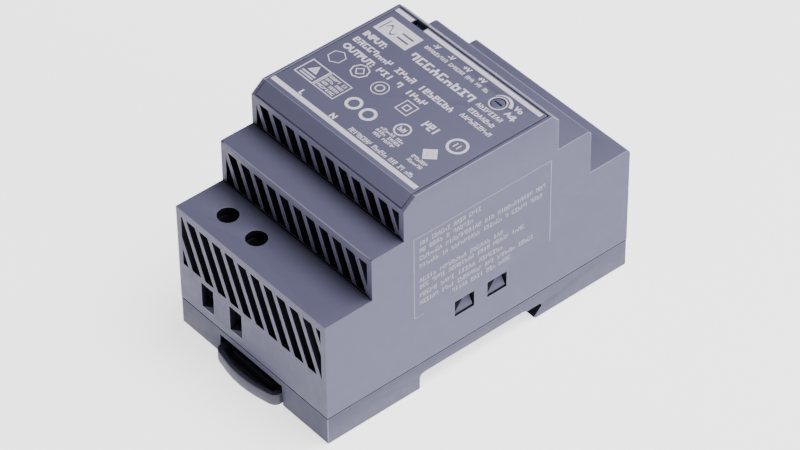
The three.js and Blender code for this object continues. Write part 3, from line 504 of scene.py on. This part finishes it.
def thick_mesh(name, points, faces, thickness):
    """The flat faces, a raised copy of them, and a wall along each edge that only one face has."""
    count = len(points)
    corners = [(x, y, 0) for x, y in points] + [(x, y, thickness) for x, y in points]
    edges = [(face[i - 1], face[i]) for face in faces for i in range(len(face))]
    below = [tuple(reversed(face)) for face in faces]
    above = [tuple(i + count for i in face) for face in faces]
    walls = [(a, b, b + count, a + count) for a, b in edges if (b, a) not in edges]
    mesh = bpy.data.meshes.new(name)
    mesh.from_pydata(corners, [], below + above + walls)
    return mesh


def plate(points, faces):
    """A plate of ink from points in millimetres and the faces between them, counter-clockwise."""
    return thick_mesh("plate", [(x * MM, y * MM) for x, y in points], faces, INK)


def bar(x0, x1, y0, y1):
    return plate([(x0, y0), (x1, y0), (x1, y1), (x0, y1)], [(0, 1, 2, 3)])


def band(points, stroke):
    """A closed line of even width whose outer edge runs through the points."""
    count = len(points)
    centre = (sum(x for x, y in points) / count, sum(y for x, y in points) / count)
    reach = max(math.dist(point, centre) for point in points)
    share = 1 - stroke / (reach * math.cos(math.pi / count))
    inner = [(centre[0] + (x - centre[0]) * share, centre[1] + (y - centre[1]) * share) for x, y in points]
    faces = [(i, (i + 1) % count, count + (i + 1) % count, count + i) for i in range(count)]
    return plate(points + inner, faces)


def ring(x, y, radius, stroke, sides=40, turn=0.0):
    angles = [turn + math.tau * i / sides for i in range(sides)]
    return band([(x + radius * math.cos(a), y + radius * math.sin(a)) for a in angles], stroke)


def box_line(x0, x1, y0, y1, stroke):
    outer = [(x0, y0), (x1, y0), (x1, y1), (x0, y1)]
    left, right, bottom, top = x0 + stroke, x1 - stroke, y0 + stroke, y1 - stroke
    inner = [(left, bottom), (right, bottom), (right, top), (left, top)]
    return plate(outer + inner, [(i, (i + 1) % 4, 4 + (i + 1) % 4, 4 + i) for i in range(4)])


def disc(x, y, radius, sides=32):
    angles = [math.tau * i / sides for i in range(sides)]
    points = [(x + radius * math.cos(a), y + radius * math.sin(a)) for a in angles]
    return plate(points, [tuple(range(sides))])


# %% A kit of stroke shapes for small print
strokes = [
    "xxx ..x xxx x.x x.x", "x.x x.x xxx x.. x..", "x.. xxx x.x x.x xxx", "xxx x.x x.x ..x ..x",
    "x.. x.. xxx ..x xxx", "xxx x.. x.. x.x xxx", ".x. .x. xxx x.x x.x", "xxx x.x xxx x.. xxx",
    ".x. .x. .x. .x. .x.", "x.x xxx x.x x.x x.x", "xxx .x. .x. .x. xxx", "... ... xxx x.x x.x",
]


def stroke_kit(name, stroke, width):
    """Shapes one unit high, in a collection that the print tree picks from."""
    kit = bpy.data.collections.new(name)
    columns = [0, stroke, width - stroke, width]
    gap = (1 - 3 * stroke) / 2
    rows = [1, 1 - stroke, 1 - stroke - gap, gap + stroke, stroke, 0]
    for index, pattern in enumerate(strokes):
        corners, faces = {}, []
        for r, row in enumerate(pattern.split()):
            for c, mark in enumerate(row):
                if mark == "x":
                    square = ((c, r + 1), (c + 1, r + 1), (c + 1, r), (c, r))
                    faces.append([corners.setdefault(corner, len(corners)) for corner in square])
        points = [(columns[c], rows[r]) for c, r in corners]
        mesh = thick_mesh(f"{name}_{index}", points, faces, 1)
        kit.objects.link(bpy.data.objects.new(mesh.name, mesh))
    return kit


KIT_WIDTH = 0.62
LETTER_SHARE = 0.82  # the part of a letter's pitch that it fills
fine_kit = stroke_kit("fine_strokes", 0.17, KIT_WIDTH)
bold_kit = stroke_kit("bold_strokes", 0.20, KIT_WIDTH)

# %% The tree that sets a line of print
print_tree = Tree("line_of_print")
characters, pitch = print_tree.size("Characters", "Int"), print_tree.size("Pitch")
width, height = print_tree.size("Width"), print_tree.size("Height")
ink_depth, seed = print_tree.size("Ink depth"), print_tree.size("Seed", "Int")
kit_input, ink_input = print_tree.size("Kit", "Collection"), print_tree.size("Ink", "Material")
step = print_tree.add("ShaderNodeCombineXYZ", X=pitch)
line = print_tree.add("GeometryNodeMeshLine", {"mode": "OFFSET"}, Count=characters, Offset=step)
shapes = print_tree.add(
    "GeometryNodeCollectionInfo", Collection=kit_input, Separate_Children=True, Reset_Children=True
)
which = print_tree.add(
    "FunctionNodeRandomValue", {"data_type": "INT"}, Min=0, Max=len(strokes) - 1, Seed=seed
)
letter_size = print_tree.add("ShaderNodeCombineXYZ", X=width, Y=height, Z=ink_depth)
set_out = print_tree.add(
    "GeometryNodeInstanceOnPoints", Points=line, Instance=shapes, Pick_Instance=True,
    Instance_Index=which, Scale=letter_size,
)
print_tree.end(set_out, ink_input)


def line_of_print(x0, x1, baseline, cap, seed, words=(9,), kit=None, ink=None):
    """Words of so many letters each, set from x0 to x1 in millimetres, the letters cap high."""
    kit, ink = kit or fine_kit, ink or ink_white
    pitch = (x1 - x0) / (sum(words) + len(words) - 1)
    shape = bmesh.new()
    for i, letters in enumerate(words):
        run = grown(
            print_tree, Characters=letters, Pitch=pitch * MM, Width=pitch * LETTER_SHARE / KIT_WIDTH * MM,
            Height=cap * MM, Ink_depth=INK, Seed=seed * 31 + i, Kit=kit, Ink=ink,
        )
        run.transform(Matrix.Translation((x0 * MM, baseline * MM, 0)))
        shape.from_mesh(run)
        x0 += (letters + 1) * pitch
    line_mesh = bpy.data.meshes.new("line")
    shape.to_mesh(line_mesh)
    shape.free()
    return line_mesh


CAPITAL_SHARE = 0.72  # a capital's height as a part of the letters' size


def word(text, x, baseline, cap, weight=0.02):
    """A real word or sign in the built-in letters, its capitals cap millimetres high."""
    curve = bpy.data.curves.new("word", "FONT")
    curve.body = text
    curve.size = cap * MM / CAPITAL_SHARE
    curve.offset = weight * cap * MM
    curve.extrude = INK / 2
    curve.resolution_u = 3
    mesh = applied(scratch_object(curve))
    shape = bmesh.new()
    shape.from_mesh(mesh)
    bmesh.ops.remove_doubles(shape, verts=shape.verts, dist=0.001 * MM)
    shape.to_mesh(mesh)
    shape.free()
    mesh.transform(Matrix.Translation((x * MM, baseline * MM, INK / 2)))
    return mesh


# %% [markdown]
# ### The front print
# The layout is one sheet on the cover: a zone bar along each end with the terminal signs beside
# it, a square mark, three large lines, rows of small print, and a set of plain outline symbols.
# All of it is joined into one mesh and set down on the cover's face.

# %% Marks on the front
EDGE = 25.0  # half of the cover's width
front = [
    bar(-EDGE, 24.4, -17.8, -16.5), bar(-EDGE, -19.4, 18.6, 19.8), bar(-15.0, 24.3, 18.6, 19.8),
    word("L", -17.2, -16.2, 1.5, 0.07), word("N", -6.6, -16.2, 1.5, 0.07),
    word("INPUT:", -23.5, 7.7, 1.7, 0.07), word("OUTPUT:", -23.3, 1.5, 1.75, 0.07),
    word("Vo", 18.5, 15.9, 1.5, 0.06), word("Adj.", 18.4, 13.3, 1.5, 0.06),
]
for sign, x in zip(("-V", "-V", "+V", "+V"), (-8.85, -3.77, 1.31, 6.39)):
    front.append(word(sign, x - 0.9, 16.7, 1.3, 0.06))
front += [
    line_of_print(-23.4, 10.4, 4.6, 1.75, 1, (8, 4, 7), kit=bold_kit),
    line_of_print(-11.6, 4.9, 1.5, 1.75, 2, (3, 1, 4), kit=bold_kit),
    line_of_print(-10.5, 10.8, 10.2, 2.3, 3, (9,), kit=bold_kit),
    line_of_print(-10.6, 10.6, 15.0, 1.1, 4, (9, 6, 3, 2, 2)),
    line_of_print(-0.2, 21.1, -16.0, 1.3, 5, (9, 6, 3, 2, 3)),
    line_of_print(11.9, 20.1, 10.6, 1.35, 6, (8,)), line_of_print(12.1, 20.3, 8.1, 1.35, 7, (8,)),
    line_of_print(12.2, 22.1, 5.6, 1.35, 8, (10,)),
    line_of_print(9.2, 14.0, -3.0, 2.3, 9, (3,), kit=bold_kit),
    line_of_print(4.0, 11.5, -10.3, 0.9, 10, (6, 3)), line_of_print(3.8, 11.6, -11.5, 0.9, 11, (4, 5)),
    line_of_print(4.2, 11.0, -12.7, 0.9, 12, (3, 5)),
    line_of_print(15.6, 20.4, -11.3, 1.0, 13, (6,)), line_of_print(15.8, 20.4, -12.8, 1.0, 14, (6,)),
]
print(len(front), "marks so far")

# %% The square mark, the framed note and the outline symbols
front += [
    bar(-23.7, -12.6, 11.0, 16.6),
    box_line(-23.8, -17.4, -12.1, -6.2, 0.3), box_line(-17.2, -10.3, -12.1, -6.1, 0.25),
    ring(-20.6, -8.6, 1.7, 0.45, sides=3, turn=math.pi / 2), disc(-20.6, -8.6, 0.4),
    bar(-22.8, -18.4, -10.5, -10.1), bar(-22.8, -18.4, -11.3, -10.9),
]
for i, letters in enumerate(((5, 2), (4, 4), (3, 5), (6,))):
    front.append(line_of_print(-16.6, -11.0, -7.7 - 1.25 * i, 0.85, 20 + i, letters))
front += [
    ring(-20.9, -1.9, 2.3, 0.2, sides=6, turn=math.pi / 6), ring(-13.7, -1.2, 2.4, 0.3, sides=8),
    ring(-13.7, -1.2, 1.4, 0.25, sides=4), ring(-6.3, -1.6, 2.2, 0.22), ring(-6.3, -1.6, 1.2, 0.3, sides=24),
    box_line(0.8, 4.8, -3.5, 0.5, 0.25), box_line(1.9, 3.7, -2.4, -0.6, 0.28),
    ring(-6.1, -9.3, 2.1, 0.75), ring(-1.1, -9.4, 2.1, 0.75),
    ring(7.8, -7.0, 2.1, 0.42), line_of_print(6.7, 8.9, -7.7, 1.4, 31, (2,), kit=bold_kit),
    ring(17.9, -7.7, 2.3, 1.0, sides=4), disc(17.9, -7.7, 0.7),
    ring(19.9, -1.5, 2.6, 0.65), line_of_print(18.8, 21.0, -2.3, 1.6, 33, (2,), kit=bold_kit),
]

# %% The adjuster's ring and its growing arc
spindle_low, spindle_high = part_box("adjuster_spindle")
spindle_x = (spindle_low.x + spindle_high.x) / 2 / MM
spindle_y = (spindle_low.y + spindle_high.y) / 2 / MM
front.append(ring(spindle_x, spindle_y, 2.25, 0.3, sides=48))
arc_points, arc_faces = [], []
ARC_STEPS = 24
for i in range(ARC_STEPS + 1):
    angle = math.radians(150 - 135 * i / ARC_STEPS)
    growth = 0.1 + 0.85 * i / ARC_STEPS
    for radius in (2.65, 2.65 + growth):
        arc_points.append((spindle_x + radius * math.cos(angle), spindle_y + radius * math.sin(angle)))
    if i:
        arc_faces.append((2 * i - 2, 2 * i, 2 * i + 1, 2 * i - 1))
front.append(plate(arc_points, arc_faces))
print("adjuster ring at", round(spindle_x, 2), round(spindle_y, 2))


# %% Join the front marks and set them on the cover
def joined(name, meshes, material, place):
    shape = bmesh.new()
    for mesh in meshes:
        shape.from_mesh(mesh)
    for face in shape.faces:
        face.material_index = 0
    one_mesh = bpy.data.meshes.new(name)
    shape.to_mesh(one_mesh)
    shape.free()
    one_mesh.materials.clear()
    one_mesh.materials.append(material)
    one_mesh.transform(place)
    return one_mesh


SUNK = 0.01 * MM  # how far a mark's underside sits in the plastic
front_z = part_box("front_cover")[1].z
front_mesh = joined("front_print", front, ink_white, Matrix.Translation((0, 0, front_z - SUNK)))
piece_object("front_print", front_mesh, "case")
print("front print:", len(front_mesh.polygons), "faces")

# %% The figure on the square mark: a wave turned into a steady line
figure = [bar(-22.7, -22.4, 11.8, 15.8), bar(-17.4, -13.7, 12.6, 13.1), bar(-17.4, -13.7, 14.3, 14.8)]
wave = [(-21.9 + 3.6 * i / 16, 13.7 + 1.2 * math.sin(math.tau * i / 16)) for i in range(17)]
lower = [(x, y - 0.5) for x, y in wave]
figure.append(plate(wave + lower, [(i + 17, i + 18, i + 1, i) for i in range(16)]))
on_the_mark = Matrix.Translation((0, 0, front_z + INK - 2 * SUNK))
figure_mesh = joined("mark_figure", figure, finishes["case_plastic"], on_the_mark)
piece_object("mark_figure", figure_mesh, "case")
print("figure:", len(figure_mesh.polygons), "faces")

# %% [markdown]
# ### The side print
# The notes on the right side are in a thinner, greyer ink: nine lines in a frame that is open
# along the bottom. They are laid out flat and then stood up against the side.

# %% Marks on the right side
side = [
    bar(-19.7, -19.5, 18.2, 41.9), bar(20.6, 20.8, 17.6, 41.9), bar(-19.5, 20.6, 41.75, 41.9),
    bar(-19.5, -17.0, 18.2, 18.35),
]
side_lines = [
    (-18.0, 0.0, 39.2, (3, 6, 4, 4)), (-18.0, -2.3, 37.1, (2, 4, 1, 6)),
    (-18.0, 19.1, 34.8, (7, 11, 3, 11, 3)), (-18.0, 18.3, 32.5, (6, 2, 9, 6, 1, 5, 4)),
    (-18.0, 6.6, 28.2, (5, 8, 6, 3)), (-18.0, 12.9, 26.3, (3, 4, 8, 4, 5, 4)),
    (-18.0, 6.5, 23.8, (5, 4, 5, 7)), (-18.0, 15.7, 21.5, (6, 4, 8, 3, 6, 5)),
    (-8.5, 8.9, 19.4, (5, 4, 3, 4)),
]
for i, (start, end, baseline, letters) in enumerate(side_lines):
    side.append(line_of_print(start, end, baseline, 1.3, 50 + i, letters, ink=ink_thin))
side_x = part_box("upper_housing")[1].x
stand_up = Matrix(((0, 0, 1, side_x - SUNK), (1, 0, 0, 0), (0, 1, 0, 0), (0, 0, 0, 1)))
side_mesh = joined("side_print", side, ink_thin, stand_up)
piece_object("side_print", side_mesh, "case")
print("side print:", len(side_mesh.polygons), "faces")

# %% [markdown]
# ## Wire that turns
# The latch spring is one wire on a helix. A spiral curve with a round profile swept along it
# makes the wire. The real spring is squashed along its axis as the latch is pulled out; this
# one is made at its rest length.

# %% The coil tree
coil_tree = Tree("helical_wire")
turns, radius = coil_tree.size("Turns"), coil_tree.size("Radius")
length, wire = coil_tree.size("Length"), coil_tree.size("Wire radius")
steps, coil_finish = coil_tree.size("Steps per turn", "Int"), coil_tree.size("Finish", "Material")
helix = coil_tree.add(
    "GeometryNodeCurveSpiral", Resolution=steps, Rotations=turns,
    Start_Radius=radius, End_Radius=radius, Height=length,
)
wire_section = coil_tree.add("GeometryNodeCurvePrimitiveCircle", Resolution=10, Radius=wire)
swept = coil_tree.add("GeometryNodeCurveToMesh", Curve=helix, Profile_Curve=wire_section, Fill_Caps=True)
smooth = coil_tree.add("GeometryNodeSetShadeSmooth", Geometry=swept)
coil_tree.end(smooth, coil_finish)

# %% The latch spring
spring_low, spring_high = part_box("latch_spring")
spring_length = spring_high.y - spring_low.y
WIRE = 0.2 * MM
spring_radius = (spring_high.x - spring_low.x) / 2 - WIRE
spring_mesh = grown(
    coil_tree, Turns=7.0, Radius=spring_radius, Length=spring_length - 2 * WIRE, Wire_radius=WIRE,
    Steps_per_turn=28, Finish=finishes["spring_steel"],
)
along_y = Matrix.Rotation(math.radians(-90), 4, "X")
spring_middle = (spring_low + spring_high) / 2
spring_start = Vector((spring_middle.x, spring_low.y + WIRE, spring_middle.z))
spring_mesh.transform(Matrix.Translation(spring_start) @ along_y)
spring = piece_object("latch_spring_coil", spring_mesh, "case", ["latch_spring"])
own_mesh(spring)
print("spring is", round(spring_length / MM, 2), "mm long")

# %% [markdown]
# ## The choke's windings
# The common-mode choke has two coils wound round a ring. Each turn is one loop of wire round the
# ring's section, so loops are placed along an arc, each turned to face along it.

# %% The ring winding tree
winding_tree = Tree("ring_winding")
w_turns, w_radius = winding_tree.size("Turns", "Int"), winding_tree.size("Ring radius")
w_width, w_height = winding_tree.size("Loop width"), winding_tree.size("Loop height")
w_wire, w_start = winding_tree.size("Wire radius"), winding_tree.size("Start angle")
w_sweep, w_finish = winding_tree.size("Sweep angle"), winding_tree.size("Finish", "Material")
w_arc = winding_tree.add(
    "GeometryNodeCurveArc", {"mode": "RADIUS"}, Resolution=64, Radius=w_radius,
    Start_Angle=w_start, Sweep_Angle=w_sweep,
)
w_places = winding_tree.group.nodes.new("GeometryNodeCurveToPoints")
w_places.mode = "COUNT"
winding_tree.group.links.new(w_arc, w_places.inputs["Curve"])
winding_tree.group.links.new(w_turns, w_places.inputs["Count"])
w_loop = winding_tree.add(
    "GeometryNodeCurvePrimitiveQuadrilateral", {"mode": "RECTANGLE"}, Width=w_width, Height=w_height
)
w_round = winding_tree.add(
    "GeometryNodeFilletCurve", {"mode": "POLY"}, Curve=w_loop, Count=3, Radius=0.9 * MM
)
w_section = winding_tree.add("GeometryNodeCurvePrimitiveCircle", Resolution=8, Radius=w_wire)
w_turn = winding_tree.add("GeometryNodeCurveToMesh", Curve=w_round, Profile_Curve=w_section)
w_smooth = winding_tree.add("GeometryNodeSetShadeSmooth", Geometry=w_turn)
w_set = winding_tree.add(
    "GeometryNodeInstanceOnPoints", Points=w_places.outputs["Points"], Instance=w_smooth,
    Rotation=w_places.outputs["Rotation"],
)
winding_tree.end(w_set, w_finish)

# %% The choke's two coils
core_low, core_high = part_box("choke_core")
core_x, core_y = (core_low.x + core_high.x) / 2, (core_low.y + core_high.y) / 2
core_outer, core_inner = (core_high.x - core_low.x) / 2, 4.2 * MM
TURNS = 11
for node, middle in (("choke_coil_line", 0.0), ("choke_coil_neutral", math.pi)):
    coil = grown(
        winding_tree, Turns=TURNS, Ring_radius=(core_outer + core_inner) / 2,
        Loop_width=core_outer - core_inner + 1.2 * MM, Loop_height=core_high.z - core_low.z + 1.2 * MM,
        Wire_radius=0.42 * MM, Start_angle=middle - 1.05,
        Sweep_angle=2.1, Finish=finishes["copper_wire"],
    )
    coil.transform(Matrix.Translation((core_x, core_y, (core_low.z + core_high.z) / 2)))
    piece_object(node + "_turns", coil, "case", [node])
    print(node, len(coil.polygons), "faces")

# %% [markdown]
# ## Floor and light
# The floor is a light table: a pale sheet that glows a little, as small products are often
# shown. It lights the upright sides from below and leaves the steps' tops darker. The brightest
# side of the case is the one that faces right, so the largest lamp stands there, and a lamp
# behind the case draws a thin bright line along its far edges.

# %% Stage
floor_mesh = bpy.data.meshes.new("floor")
HALF_FLOOR = 4.0
floor_z = cad_box[0][2] - 0.02 * MM
floor_corners = [(x * HALF_FLOOR, y * HALF_FLOOR, floor_z) for x, y in ((-1, -1), (1, -1), (1, 1), (-1, 1))]
floor_mesh.from_pydata(floor_corners, [], [(0, 1, 2, 3)])
floor = bpy.data.objects.new("floor", floor_mesh)
table_top, _, table_shader = shader_nodes("light_table")
table_shader.inputs["Base Color"].default_value = (0.9, 0.9, 0.9, 1)
table_shader.inputs["Roughness"].default_value = 0.8
table_shader.inputs["Emission Color"].default_value = (1, 1, 1, 1)
table_shader.inputs["Emission Strength"].default_value = 1.8
floor_mesh.materials.append(table_top)
bpy.context.scene.collection.objects.link(floor)

world = bpy.data.worlds.new("studio")
world.use_nodes = True
world.node_tree.nodes["Background"].inputs["Color"].default_value = (1.0, 1.0, 1.0, 1)
world.node_tree.nodes["Background"].inputs["Strength"].default_value = 0.13
bpy.context.scene.world = world


def lamp(name, place, size, power):
    data = bpy.data.lights.new(name, "AREA")
    data.shape = "DISK"
    data.size = size
    data.energy = power
    made = bpy.data.objects.new(name, data)
    made.location = place
    made.rotation_euler = (-Vector(place)).to_track_quat("-Z", "Y").to_euler()
    bpy.context.scene.collection.objects.link(made)


lamp("right_lamp", (1.1, 0.25, 0.40), 0.9, 7.5)
lamp("top_lamp", (0.30, 0.35, 1.30), 0.9, 27)
lamp("back_lamp", (0.3, 1.1, 0.7), 0.5, 5)
